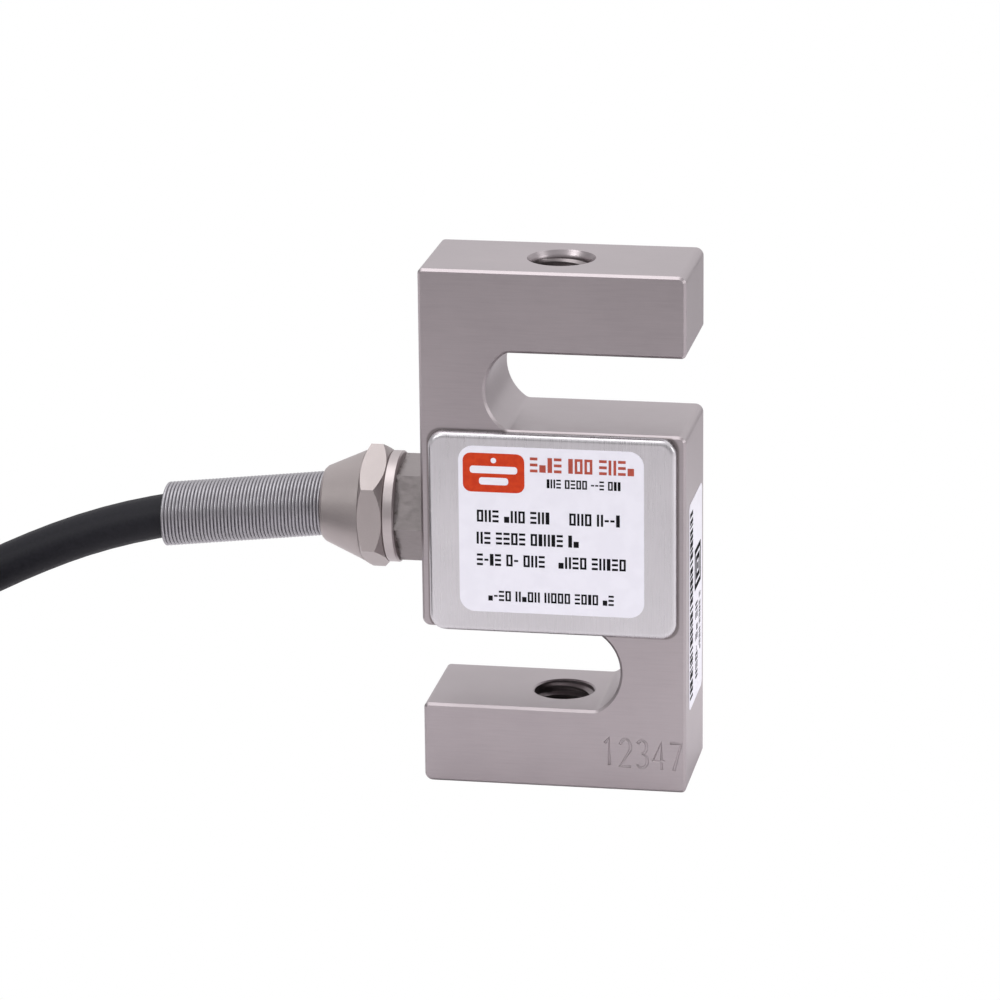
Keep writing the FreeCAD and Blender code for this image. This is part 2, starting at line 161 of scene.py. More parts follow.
# %% Cable: the hank's straight sides
def side_points(start_x, end_x, side, start, end, lag):
    """Points along a straight side, while radius and height move from start to end. The
    first and last stand as far from the end's corners as those stand from one another."""
    points = []
    run = abs(end_x - start_x)
    lead = math.tan(math.radians(END_STEP / 2))
    for k in range(SIDE_STEPS + 1):
        part = k / SIDE_STEPS
        distance = start[0] * lead + (run - (start[0] + end[0]) * lead) * part
        moved = min(1.0, max(0.0, (distance - MOVE_START) / MOVE_LENGTH - lag))
        ease = 2 * moved * moved if moved < 0.5 else 1 - 2 * (1 - moved) ** 2
        points.append((start_x + (end_x - start_x) * distance / run,
                       HANK_MIDDLE + side * (start[0] + (end[0] - start[0]) * ease),
                       start[1] + (end[1] - start[1]) * ease))
    return points


hank = []
for first, left, right, lag in HANK_TURNS:
    hank += side_points(HANK_RIGHT, HANK_LEFT, 1, first, left, lag)
    hank += end_points(HANK_LEFT, 90, left)
    hank += side_points(HANK_LEFT, HANK_RIGHT, -1, left, right, lag)
    hank += end_points(HANK_RIGHT, 270, right)
print("hank", len(hank), "points")

# %% [markdown]
# ## Cable: the one line
# The last turn lets the cable go into the hank's middle, where its bare cores lie. A mesh
# could be swept along all of it, but a curve keeps the middle line, and with it the length
# and the thickness stay known. First run, hank and tail are one smooth curve with a round
# section.

# %% Cable: the one line
TAIL = [(-161.4, -17.8, 5.5), (-168.1, -19.6, 5.5), (-177.5, -24.7, 5.5),
        (-185.75, -28.94, 5.5), (-195.04, -32.655, 5.5)]
LINE_STEPS, SECTION_STEPS = 4, 6


def smooth_line(name, points, radius):
    """A curve of order three. Its section has the radius of its points times the bevel's."""
    curve = bpy.data.curves.new(name, "CURVE")
    curve.dimensions = "3D"
    spline = curve.splines.new("NURBS")
    spline.points.add(len(points) - 1)
    for point, place in zip(spline.points, points):
        point.co = (*(MM * c for c in place), 1.0)
        point.radius = radius * MM
    spline.order_u = 3
    spline.use_endpoint_u = True
    spline.resolution_u = LINE_STEPS
    curve.bevel_depth = 1.0
    curve.bevel_resolution = SECTION_STEPS
    curve.use_fill_caps = True
    return curve


cable = bpy.data.objects.new("cable_run", smooth_line(
    "cable_run", CABLE_RUN + hank + TAIL, CABLE_RADIUS))
bpy.context.collection.objects.link(cable)
print("cable line", len(CABLE_RUN + hank + TAIL), "points")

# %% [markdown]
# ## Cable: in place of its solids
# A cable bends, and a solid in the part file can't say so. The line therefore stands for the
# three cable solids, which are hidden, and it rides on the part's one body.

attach(cable, "root")
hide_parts("cable", "cable_coil", "cable_tail")

# %% [markdown]
# ## Skins through rings
# A spring's wire and a thread's ridge are long bodies of one section. Blender can sweep a
# bevelled curve, but that turns the section as the curve turns. A skin through rings of
# points keeps each ring just where a formula puts it, and every size stays a number that
# can be changed.

# %% Skins through rings
def mesh_from(name, points, faces):
    """A mesh from points in metres, and faces as lists of point numbers."""
    mesh = bpy.data.meshes.new(name)
    mesh.from_pydata([tuple(p) for p in points], [], faces)
    mesh.validate()
    mesh.update()
    return mesh


def sweep(name, rings):
    """A skin through rings of the same number of points, with a cap at both ends."""
    points, faces = [], []
    count = len(rings[0])
    for ring in rings:
        points.extend(ring)
    last = (len(rings) - 1) * count
    for first in range(0, last, count):
        for k in range(count):
            a, b = first + k, first + (k + 1) % count
            faces.append((a, b, b + count, a + count))
    faces.append(tuple(reversed(range(count))))
    faces.append(tuple(last + k for k in range(count)))
    return mesh_from(name, points, faces)


# %% [markdown]
# ## New pieces
# Shade Smooth rounds every edge, so a piece would need a look at each of its corners. Here
# all faces are smooth and an edge is marked sharp where it bends more than a crease angle.
# Each new piece rides on the one body of this part, since a load cell has no joint.

# %% New pieces
def new_piece(name, mesh, crease=35.0):
    """An object for a mesh, on the part's one body. The crease is in degrees."""
    mesh.polygons.foreach_set("use_smooth", [True] * len(mesh.polygons))
    mesh.set_sharp_from_angle(angle=math.radians(crease))
    piece = bpy.data.objects.new(name, mesh)
    bpy.context.collection.objects.link(piece)
    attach(piece, "root")
    print(name, len(mesh.polygons), "faces")
    return piece


# %% [markdown]
# ## Bend-relief spring
# Bright wire, wound tight from inside the nut's mouth, keeps the cable from kinking there.
# A Screw modifier could wind it, but then every turn would tip with the line. On the real
# one the cable's weight pulls each turn a little lower than the one before, so the turns
# stay upright while their line droops. A formula can shear the coil in that way.

# %% Bend-relief spring
# The coil's line falls by the droop, while its turns lean only by the lean.
SPRING_FROM = Vector((-47.9, 0, 53.1))
SPRING_DROOP, SPRING_LEAN = math.radians(6.4), math.radians(0.8)
SPRING_RADIUS, SPRING_WIRE, SPRING_PITCH = 6.45, 0.72, 0.73
SPRING_TURNS, SPRING_START = 46.6, 1.2
WIRE_SIDES, TURN_STEPS = 10, 48

spring_line = Vector((-math.cos(SPRING_DROOP), 0, -math.sin(SPRING_DROOP)))
turn_axis = Vector((-math.cos(SPRING_LEAN), 0, -math.sin(SPRING_LEAN)))
turn_top = Vector((-math.sin(SPRING_LEAN), 0, math.cos(SPRING_LEAN)))
turn_side = Vector((0, -1, 0))


def wire_ring(step):
    """Points round the wire, so many steps along the coil."""
    turn = 2 * math.pi * step / TURN_STEPS
    wire = SPRING_WIRE / 2
    outward = turn_top * math.cos(turn) + turn_side * math.sin(turn)
    distance = SPRING_PITCH * step / TURN_STEPS - SPRING_START
    centre = SPRING_FROM + spring_line * distance + outward * (SPRING_RADIUS - wire)
    ring = []
    for side in range(WIRE_SIDES):
        part = 2 * math.pi * side / WIRE_SIDES
        ring.append((centre + outward * (wire * math.cos(part))
                     + turn_axis * (wire * math.sin(part))) * MM)
    return ring


wire_rings = [wire_ring(step) for step in range(round(SPRING_TURNS * TURN_STEPS) + 1)]
relief_spring = new_piece("relief_spring", sweep("relief_spring", wire_rings),
                          crease=60)
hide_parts("strain_relief_spring")

# %% [markdown]
# ## Threads
# Both arms have a tapped hole, which the part file leaves smooth at its major radius. A
# bump map could fake the turns, but they are seen edge-on in the hole's mouth. So a real
# helical ridge goes inwards from the wall, with the flats of a metric thread. It fades out
# at both ends, as a tap leaves it.

# %% Threads
# Pitch and radii of the thread, and half the ridge's width at its base and at its crest.
THREAD_PITCH, THREAD_MAJOR, THREAD_MINOR = 1.75, 6.0, 5.1
RIDGE_BASE, RIDGE_CREST = 0.76, 0.22
# The base lies this far inside the steel, so that no gap shows.
RIDGE_SINK = 0.02
# Steps in a turn, and in the stretch over which the ridge fades.
THREAD_STEPS, FADE_STEPS = 48, 16
UPPER_THREAD, LOWER_THREAD = (89.9, 102.9), (2.1, 15.1)


def ridge(name, low, high):
    """The ridge from one height to another, as a skin."""
    steps = int((high - low) / THREAD_PITCH * THREAD_STEPS)
    base = THREAD_MAJOR + RIDGE_SINK
    rings = []
    for k in range(steps + 1):
        turn = 2 * math.pi * k / THREAD_STEPS
        height = low + THREAD_PITCH * k / THREAD_STEPS
        fade = min(1.0, k / FADE_STEPS, (steps - k) / FADE_STEPS)
        crest = THREAD_MAJOR - (THREAD_MAJOR - THREAD_MINOR) * fade
        profile = [(base, -RIDGE_BASE), (crest, -RIDGE_CREST),
                   (crest, RIDGE_CREST), (base, RIDGE_BASE)]
        rings.append([Vector((r * math.cos(turn), r * math.sin(turn), height + rise)) * MM
                      for r, rise in profile])
    return sweep(name, rings)


upper_thread = new_piece("upper_thread", ridge("upper_thread", *UPPER_THREAD),
                         crease=20)
lower_thread = new_piece("lower_thread", ridge("lower_thread", *LOWER_THREAD),
                         crease=20)

# %% [markdown]
# ## Engraving: the digits' strokes
# A round tool has cut characters into the front of the lower arm. Here they are plain
# digits. Font outlines have wide strokes with sharp ends, and a cutter leaves neither. So
# each digit is a few strokes in a unit box, with arcs as points on an ellipse.

# %% Engraving: the digits' strokes
def arc(centre, size, start, end, count=14):
    """Points on an ellipse, with angles in degrees from +X."""
    points = []
    for k in range(count + 1):
        turn = math.radians(start + (end - start) * k / count)
        points.append((centre[0] + size[0] * math.cos(turn),
                       centre[1] + size[1] * math.sin(turn)))
    return points


DIGIT_STROKES = {
    "1": [[(0.2, 0.8), (0.55, 1.0), (0.55, 0.0)]],
    "2": [arc((0.5, 0.72), (0.42, 0.28), 165, -30) + [(0.05, 0.0), (0.95, 0.0)]],
    "3": [arc((0.48, 0.76), (0.38, 0.24), 150, -90), arc((0.48, 0.26), (0.44, 0.26), 90, -150)],
    "4": [[(0.7, 0.0), (0.7, 1.0), (0.02, 0.3), (0.98, 0.3)]],
    "7": [[(0.05, 1.0), (0.95, 1.0), (0.35, 0.0)]],
}
print("strokes for", ", ".join(DIGIT_STROKES))

# %% [markdown]
# ## Engraving: the cutter
# The groove that the tool leaves could be a dark texture, but then it would catch no light.
# So the tool's path is a curve with a round section, which is cut out of the steel. The
# curve runs in front of the face, and only the back of its round bites.

# %% Engraving: the cutter
# The first digit's upper left corner, a digit's size, and the step from digit to digit.
ENGRAVING_AT = Vector((9.6, -12.5, 10.9))
ENGRAVING_SIZE = Vector((2.5, 0, 5.7))
ENGRAVING_STEP = Vector((3.35, 0, -0.14))
# The tool's radius, and how deep it bites.
ENGRAVING_TOOL, ENGRAVING_DEPTH = 0.36, 0.2
TOOL_STEPS = 3


def engraving_cutter(text):
    """An object in the form of the steel that the tool takes away."""
    curve = bpy.data.curves.new("cutter", "CURVE")
    curve.dimensions = "3D"
    curve.bevel_depth = ENGRAVING_TOOL * MM
    curve.bevel_resolution = TOOL_STEPS
    curve.use_fill_caps = True
    rise = ENGRAVING_TOOL - ENGRAVING_DEPTH
    for place, digit in enumerate(text):
        origin = ENGRAVING_AT + ENGRAVING_STEP * place
        for stroke in DIGIT_STROKES[digit]:
            spline = curve.splines.new("POLY")
            spline.points.add(len(stroke) - 1)
            for point, (x, z) in zip(spline.points, stroke):
                spot = origin + Vector((x * ENGRAVING_SIZE.x, -rise,
                                        (z - 1) * ENGRAVING_SIZE.z))
                point.co = (*(spot * MM), 1.0)
    holder = bpy.data.objects.new("cutter", curve)
    mesh = bpy.data.meshes.new_from_object(holder)
    bpy.data.objects.remove(holder)
    tool = bpy.data.objects.new("cutter", mesh)
    bpy.context.collection.objects.link(tool)
    print("cutter", len(mesh.polygons), "faces")
    return tool


cutter = engraving_cutter("12347")

# %% [markdown]
# ## Engraving: cutting a copy of the body
# The groove could be drawn into the face with the knife tool, but five digits would take
# hours. A Boolean modifier cuts them in one step. The solids themselves are never changed,
# so a copy takes the cut and then replaces the body. The Boolean needs a closed mesh, so
# points that lie on one another are welded before it and after it.

# %% Engraving: cutting a copy of the body
# Corners nearer than this, in metres, become one.
WELD = 2e-6


def welded(mesh, name):
    """The same faces on shared corners, with plain normals."""
    joined = bmesh.new()
    joined.from_mesh(mesh)
    bmesh.ops.remove_doubles(joined, verts=joined.verts, dist=WELD)
    joined.verts.index_update()
    points = [corner.co.copy() for corner in joined.verts]
    faces = [[corner.index for corner in face.verts] for face in joined.faces]
    joined.free()
    return mesh_from(name, points, faces)


def cut_copy(name, mesh, tool):
    """The mesh less the tool, as a new mesh. The tool is used up."""
    holder = bpy.data.objects.new(name, welded(mesh, name))
    bpy.context.collection.objects.link(holder)
    cut = holder.modifiers.new("cut", "BOOLEAN")
    cut.operation = "DIFFERENCE"
    cut.solver = "EXACT"
    cut.object = tool
    cut.use_self = True
    graph = bpy.context.evaluated_depsgraph_get()
    changed = bpy.data.meshes.new_from_object(holder.evaluated_get(graph))
    bpy.data.objects.remove(holder)
    bpy.data.objects.remove(tool)
    return welded(changed, name)


body_mesh = frame["nodes"]["s_beam_body"].data
engraved_mesh = cut_copy("engraved_body", body_mesh, cutter)
print("body", len(body_mesh.polygons), "faces, engraved", len(engraved_mesh.polygons))

# %% [markdown]
# ## Engraving: flat faces that look flat
# Smooth shading bends the reflection on a milled face wherever a rounded edge meets it, and
# long thin triangles show that as streaks. A Weighted Normal modifier helps with that, but
# it rates each triangle by itself. This one adds up all that lie in one plane, so that a
# milled face always wins at its corners.

# %% Engraving: flat faces that look flat
# Faces that bend less than this smooth into one another, in degrees.
BODY_CREASE = 28
# A plane counts at a corner when it is more than this share of the widest one there.
PLANE_SHARE = 0.4


def plane_of(face):
    """The rounded direction and distance of a face's plane, which its neighbours share."""
    direction = tuple(round(c, 2) for c in face.normal)
    return (*direction, round(face.normal.dot(face.center) / MM, 1))


def flats_first(mesh, crease):
    """Smooth normals in which the widest plane at each corner leads."""
    near = math.cos(math.radians(crease))
    planes = [plane_of(face) for face in mesh.polygons]
    extent, around = {}, {}
    for face, plane in zip(mesh.polygons, planes):
        extent[plane] = extent.get(plane, 0.0) + face.area
        for corner in face.vertices:
            around.setdefault(corner, []).append(face.index)
    normals = []
    for face in mesh.polygons:
        for corner in face.vertices:
            others = [k for k in around[corner]
                      if mesh.polygons[k].normal.dot(face.normal) > near]
            widest = max(extent[planes[k]] for k in others)
            normals.append(sum((mesh.polygons[k].normal * mesh.polygons[k].area for k in others
                                if extent[planes[k]] > PLANE_SHARE * widest),
                               Vector()).normalized())
    mesh.polygons.foreach_set("use_smooth", [True] * len(mesh.polygons))
    mesh.normals_split_custom_set(normals)
    print(len(extent), "planes, the widest", round(max(extent.values()) / MM ** 2), "mm2")


engraved_body = new_piece("engraved_body", engraved_mesh)
flats_first(engraved_mesh, BODY_CREASE)
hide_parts("s_beam_body")

# %% [markdown]
# ## Print: flat shapes
# The labels' ink is a thin layer on the foil. It could be an image on the label, but flat
# shapes stay sharp at any distance and need no file. They lie a hair off the foil, so that
# the two surfaces don't flicker.

# %% Print: flat shapes
INK_GAP = 0.02
CORNER_STEPS = 5


def flat_shapes(name, shapes, place):
    """A mesh of flat polygons. place gives the point for a shape's (u, v)."""
    points, faces = [], []
    for shape in shapes:
        first = len(points)
        points.extend(place(u, v) * MM for u, v in shape)
        faces.append(tuple(range(first, first + len(shape))))
    return mesh_from(name, points, faces)


def rectangle(u, v, width, height):
    """Corners of a rectangle, from its lower left one."""
    return [(u, v), (u + width, v), (u + width, v + height), (u, v + height)]


def rounded(u, v, width, height, radius):
    """The same with round corners."""
    right, top = u + width - radius, v + height - radius
    left, base = u + radius, v + radius
    points = []
    for centre, start in (((right, base), -90), ((right, top), 0),
                          ((left, top), 90), ((left, base), 180)):
        points += arc(centre, (radius, radius), start, start + 90, CORNER_STEPS)
    return points


print("a rounded badge has", len(rounded(0, 0, 2, 1, 0.2)), "corners")

# %% [markdown]
# ## Print: rows of marks
# A real label is full of words and numbers. Text could be set in a font, but this print is
# meant to say nothing. Bars, rings, stacks and dashes stand for its letters, in rows of the
# usual height. A seeded draw picks them, so the rows come out the same each time.

# %% Print: rows of marks
# Each mark's width, and its boxes as (x, y, width, height), in parts of the row's height.
MARKS = {
    "bar": (0.3, [(0.0, 0.0, 0.3, 1.0)]),
    "ring": (0.52, [(0.0, 0.0, 0.17, 1.0), (0.35, 0.0, 0.17, 1.0), (0.17, 0.0, 0.18, 0.17),
                    (0.17, 0.83, 0.18, 0.17)]),
    "pair": (0.5, [(0.0, 0.0, 0.18, 1.0), (0.32, 0.0, 0.18, 1.0)]),
    "stack": (0.5, [(0.0, 0.0, 0.5, 0.19), (0.0, 0.4, 0.5, 0.19), (0.0, 0.81, 0.5, 0.19)]),
    "half": (0.42, [(0.0, 0.0, 0.42, 0.5)]),
    "dash": (0.34, [(0.0, 0.4, 0.34, 0.17)]),
}
MARK_MIX = ["bar", "ring", "ring", "pair", "pair", "stack", "stack", "stack", "half", "dash"]
MARK_GAP, WORD_GAP = 0.12, 0.32
print_draw = random.Random(5)


def mark_row(start, end, base, height):
    """A row of marks that fills a length, with a few word gaps."""
    shapes, u, left_in_word = [], start, print_draw.randint(2, 5)
    while True:
        width, boxes = MARKS[print_draw.choice(MARK_MIX)]
        if u + width * height > end:
            return shapes
        shapes += [rectangle(u + x * height, base + y * height, w * height, h * height)
                   for x, y, w, h in boxes]
        u += (width + MARK_GAP) * height
        left_in_word -= 1
        if left_in_word == 0:
            u += WORD_GAP * height
            left_in_word = print_draw.randint(2, 6)


print(len(MARKS), "kinds of mark")

# %% [markdown]
# ## Print: front label
# The front label has a block of colour with a white disc and two bars, a heading in dull
# red, and black rows. One mesh could hold all of it, but a mesh for each ink needs only one
# finish. Every row is laid out flat, and a small function puts it on the foil's front face.

# %% Print: front label
# Shapes are in millimetres from the loading axis and from the base. A rounded one has its
# lower left corner, width, height and radius. The disc is an arc that stops one step short
# of a full turn.
front_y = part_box("front_label")[0].y / MM - INK_GAP


def on_front(u, v):
    return Vector((u, front_y, v))


def on_badge(u, v):
    return Vector((u, front_y - INK_GAP, v))


BADGE = rounded(-17.4, 61.1, 12.2, 7.9, 1.6)
BADGE_MARKS = [rounded(-16.0, 64.9, 9.4, 1.5, 0.6), rounded(-14.2, 62.6, 5.8, 1.5, 0.6),
               arc((-11.3, 67.55), (0.55, 0.55), 0, 342, 19)]
badge = new_piece("print_badge", flat_shapes("print_badge", [BADGE], on_front))
badge_marks = new_piece("print_badge_marks", flat_shapes(
    "print_badge_marks", BADGE_MARKS, on_badge))

# Each row's start, end, base and height.
HEADING = (-4.1, 17.3, 65.5, 3.0)
FRONT_ROWS = [(-0.8, 14.1, 62.4, 1.8), (-14.7, 0.4, 55.0, 2.45), (3.6, 15.6, 55.0, 2.45),
              (-14.8, 6.1, 50.5, 2.45), (-14.8, 0.2, 46.1, 2.4), (1.4, 15.6, 46.1, 2.4),
              (-12.6, 12.5, 38.9, 2.1)]
heading = new_piece("print_heading", flat_shapes(
    "print_heading", mark_row(*HEADING), on_front))
print_rows = new_piece("print_rows", flat_shapes(
    "print_rows", [shape for row in FRONT_ROWS for shape in mark_row(*row)], on_front))

# %% [markdown]
# ## Print: side label
# The narrow label on the right has a long column of bars, square rings beside it and two
# rows of marks. The bars could be a striped texture, but only separate bars keep clean
# edges this close to one another. Their widths are drawn at random and say nothing.

# %% Print: side label
side_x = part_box("side_label")[1].x / MM + INK_GAP
BAR_WIDTHS, BAR_GAPS = [0.4, 0.6, 0.9, 1.2], [0.3, 0.3, 0.6]


def on_side(u, v):
    """The side label is printed to be read with its top to the left."""
    return Vector((side_x, -v, u))


def bar_column(start, end, base, height):
    shapes, u = [], start
    while u < end:
        width = print_draw.choice(BAR_WIDTHS)
        shapes.append(rectangle(u, base, width, height))
        u += width + print_draw.choice(BAR_GAPS)
    return shapes


def nested_squares(u, v, side):
    """Two square rings, one in the other, round a small square. Lines and gaps are in
    parts of the side."""
    line = side / 7.6
    shapes = []
    for inset in (0.0, 1.6 * line):
        size = side - 2 * inset
        shapes += [rectangle(u + inset, v + inset, line, size),
                   rectangle(u + inset + size - line, v + inset, line, size),
                   rectangle(u + inset, v + inset, size, line),
                   rectangle(u + inset, v + inset + size - line, size, line)]
    return shapes + [rectangle(u + side * 0.42, v + side * 0.42, side * 0.16, side * 0.16)]


# Start, end, base and height for the bars and the rows. Corner and side for the squares.
side_shapes = bar_column(17.5, 55.5, 3.4, 3.9)
side_shapes += nested_squares(38.2, -7.6, 8.4)
for row in ((19.5, 36.5, -3.2, 3.0), (24.0, 36.5, -7.2, 2.0)):
    side_shapes += mark_row(*row)
side_print = new_piece("side_print", flat_shapes("side_print", side_shapes, on_side))

# %% [markdown]
# ## Finishes: nodes from one method
# A finish is a tree of shader nodes. It could be wired by hand in the shader editor, but a
# script can be read from top to bottom and run again. One method makes any node: its
# settings come first, because they can change which sockets the node has.

# %% Finishes: nodes from one method
class Graph:
    """The nodes of one material, or of the world."""

    def __init__(self, tree):
        self.tree = tree
        tree.nodes.clear()

    def node(self, kind, settings=None, inputs=None, output=0):
        """A node of this kind, with a value or a link for each named input."""
        node = self.tree.nodes.new(kind)
        for name, value in (settings or {}).items():
            setattr(node, name, value)
        for name, value in (inputs or {}).items():
            if isinstance(value, Value):
                self.tree.links.new(value.socket, node.inputs[name])
            else:
                node.inputs[name].default_value = value
        return Value(self, node.outputs[output]) if node.outputs else node

    def place(self, stretch):
        """The object's own coordinates, in metres, times a stretch along each axis. They
        are the node's output 3."""
        return self.node("ShaderNodeTexCoord", output=3) * stretch

    def noise(self, stretch, detail=3.0, roughness=0.5):
        """Soft spots from 0 to 1. The stretch is how many there are in a metre."""
        return self.node("ShaderNodeTexNoise", {}, {
            "Vector": self.place(stretch), "Scale": 1.0, "Detail": detail,
            "Roughness": roughness})


print("Graph makes nodes and noise")

# %% [markdown]
# ## Finishes: sockets as values
# Sums and products of noise would take a Math node each, with its own name and links. Here
# a socket is wrapped in a small class that adds, takes away and multiplies like a number.
# The finish then reads like a formula, and the nodes are made on the way.

# %% Finishes: sockets as values
def opaque(colour):
    """A colour of three parts gets its alpha. One from a node stays as it is."""
    return colour if isinstance(colour, Value) else (*colour, 1.0)


class Value:
    """A socket that adds, takes away and multiplies like a number."""

    def __init__(self, graph, socket):
        self.graph = graph
        self.socket = socket

    def calculate(self, operation, *terms, output=0):
        """A Math node, or a Vector Math node when any term is a vector."""
        vectors = any(isinstance(t, Value) and t.socket.type == "VECTOR" for t in terms)
        kind = "ShaderNodeVectorMath" if vectors else "ShaderNodeMath"
        return self.graph.node(kind, {"operation": operation}, dict(enumerate(terms)), output)

    def __add__(self, other):
        return self.calculate("ADD", self, other)

    def __radd__(self, other):
        return self.calculate("ADD", other, self)

    def __sub__(self, other):
        return self.calculate("SUBTRACT", self, other)

    def __rsub__(self, other):
        return self.calculate("SUBTRACT", other, self)

    def __mul__(self, other):
        return self.calculate("MULTIPLY", self, other)

    def __rmul__(self, other):
        return self.calculate("MULTIPLY", other, self)

    def __abs__(self):
        return self.calculate("ABSOLUTE", self)

    def at_least(self, low):
        return self.calculate("MAXIMUM", self, low)

    def length(self):
        """How long a vector is."""
        return self.calculate("LENGTH", self, output=1)

    def along(self, axis):
        """A vector's part along X, Y or Z, which are 0, 1 and 2."""
        return self.graph.node("ShaderNodeSeparateXYZ", {}, {0: self}, axis)

    def clamp(self, low, high, new_low=0.0, new_high=1.0):
        """This value from low to high, mapped smoothly to the new range."""
        return self.graph.node("ShaderNodeMapRange", {"interpolation_type": "SMOOTHSTEP"}, {
            "Value": self, "From Min": low, "From Max": high, "To Min": new_low,
            "To Max": new_high})

    def blend(self, first, second):
        """A colour between first, at 0, and second, at 1. The Mix node takes its colours
        in sockets 6 and 7, and gives one from output 2."""
        return self.graph.node("ShaderNodeMix", {"data_type": "RGBA"},
                               {0: self, 6: opaque(first), 7: opaque(second)}, 2)


print("Value adds, takes away, multiplies, clamps and blends")

# %% [markdown]
# ## Finishes: bare metal
# Every metal part has been milled, ground or drawn, which leaves fine lines in one
# direction over a slow mottle. An image could show that, but noise needs no file and fits
# any size. Both noises make the colour, and the lines also vary the roughness and lift the
# surface a little.

# %% Finishes: bare metal
MOTTLE = (35, 35, 35)
# Noise seldom leaves this range.
NOISE_LOW, NOISE_HIGH = 0.3, 0.7
BUMP_HEIGHT = 0.0002
# A dark colour: painted shadow in the body's holes and seams, and real grime at the fitting's
# joint.
DARK_SHADOW_AND_GRIME = (0.1, 0.085, 0.08)


def new_material(name, build):
    """A material whose surface is what build returns for its graph."""
    material = bpy.data.materials.new(name)
    material.use_nodes = True
    graph = Graph(material.node_tree)
    surface = build(graph)
    graph.node("ShaderNodeOutputMaterial", {}, {"Surface": surface})
    return material


def relief(graph, height, strength):
    """Small ups and downs for a surface's Normal."""
    return graph.node("ShaderNodeBump", {}, {
        "Strength": strength, "Distance": BUMP_HEIGHT, "Height": height})


def metal(name, dark, light, grain, rough=(0.3, 0.42), bump=0.05, shadow_and_grime_mask=None):
    """Steel from dark to light. The grain is how many lines there are in a metre, along
    each axis. Where the last argument, a mask, is low, a dark colour comes in: painted
    shadow in the body's holes, the weld line with a painted shadow of its gap at the
    covers' seams, and real grime at the fitting's joint."""
    def build(graph):
        cloud = graph.noise(MOTTLE, 4.0, 0.6)
        lines = graph.noise(grain, 3.0, 0.6)
        tone = (0.55 * cloud + 0.45 * lines).clamp(NOISE_LOW, NOISE_HIGH)
        colour = tone.blend(dark, light)
        # Where the mask is low the colour turns dark: painted shadow on the body, real grime on
        # the fitting.
        if shadow_and_grime_mask:
            colour = shadow_and_grime_mask(graph).blend(DARK_SHADOW_AND_GRIME, colour)
        return graph.node("ShaderNodeBsdfPrincipled", {}, {
            "Base Color": colour, "Metallic": 1.0,
            "Roughness": lines.clamp(NOISE_LOW, NOISE_HIGH, *rough),
            "Normal": relief(graph, lines, bump)})
    return new_material(name, build)


print("bare metal is mottled", MOTTLE[0], "times in a metre")

# %% [markdown]
# ## Finishes: where the metal is dark
# The threaded holes get a painted shadow inside, and the seam round each welded cover gets a
# dark line, which is the weld with a painted shadow of its gap. The joint of the hexagon
# fitting gets specks of real grime. Vertex colours could mark them, but these solids have
# too few corners for that. A mask worked out from the coordinates is sharp whatever the mesh.

# %% Finishes: where the metal is dark
cover_low, cover_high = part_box("front_cover")
COVER_MIDDLE = (cover_high.z + cover_low.z) / 2 / MM
# How dark the holes' painted shadow and the seam are, from 0 to 1. The seam is the weld line
# with a painted shadow of its gap.
HOLE_DARK, SEAM_DARK = 0.45, 0.6
# From the cover's middle to the arms with the holes, and from the axis to the body's faces.
TO_ARM, TO_FACE = 27.0, 12.5
# The middle of the seam's round at a cover's corner, seen from the cover's middle.
SEAM_INSET = 2.5
SEAM_CORNER = ((cover_high.x - cover_low.x) / 2 / MM - SEAM_INSET, 0,
               (cover_high.z - cover_low.z) / 2 / MM - SEAM_INSET)


def body_shade(graph):
    """1 on the open faces, lower in the threaded holes, as painted shadow, and in the seam
    round the covers, as the weld line with a painted shadow of its gap.
    """
    spot = graph.place((1000, 1000, 1000))
    from_axis = (spot * (1, 1, 0)).length()
    in_arm = abs(spot.along(2) - COVER_MIDDLE).clamp(TO_ARM, TO_ARM + 1)
    # Painted shadow inside the threaded holes.
    in_hole = from_axis.clamp(THREAD_MAJOR - 0.1, THREAD_MAJOR + 0.15, HOLE_DARK, 0.0)
    past_corner = abs(spot * (1, 0, 1) - (0, 0, COVER_MIDDLE)) - SEAM_CORNER
    from_cover = past_corner.at_least((0, 0, 0)).length()
    # The dark seam round a cover: the weld line, with a painted shadow of its gap.
    in_seam = from_cover.clamp(SEAM_INSET + 0.2, SEAM_INSET + 0.6, SEAM_DARK, 0.0)
    on_face = abs(spot.along(1)).clamp(TO_FACE - 0.3, TO_FACE - 0.1)
    return (1 - in_arm * in_hole) * (1 - on_face * in_seam)


# The specks at the fitting's joint are thick at the first X and gone at the second.
JOINT_FULL, JOINT_GONE, JOINT_DARK = -32.3, -31.0, 0.75


def joint_residue(graph):
    """Low in irregular specks of grime where the hexagon fitting meets its ring."""
    near = graph.place((1000, 1000, 1000)).along(0).clamp(JOINT_FULL, JOINT_GONE, 1.0, 0.0)
    specks = graph.noise((700, 500, 500), 3.0, 0.7).clamp(0.47, 0.56)
    return 1 - JOINT_DARK * near * specks


print("covers' middle", round(COVER_MIDDLE, 2), "mm up")

# %% [markdown]
# ## Finishes: the metals
# The body is milled along its width and the covers are brushed upright. The fitting is
# darker, the nut is dull and even, and the spring's wire is drawn smooth. One plain grey
# could do for all, but side by side they look like different metals, and these small
# changes in colour and grain show it.

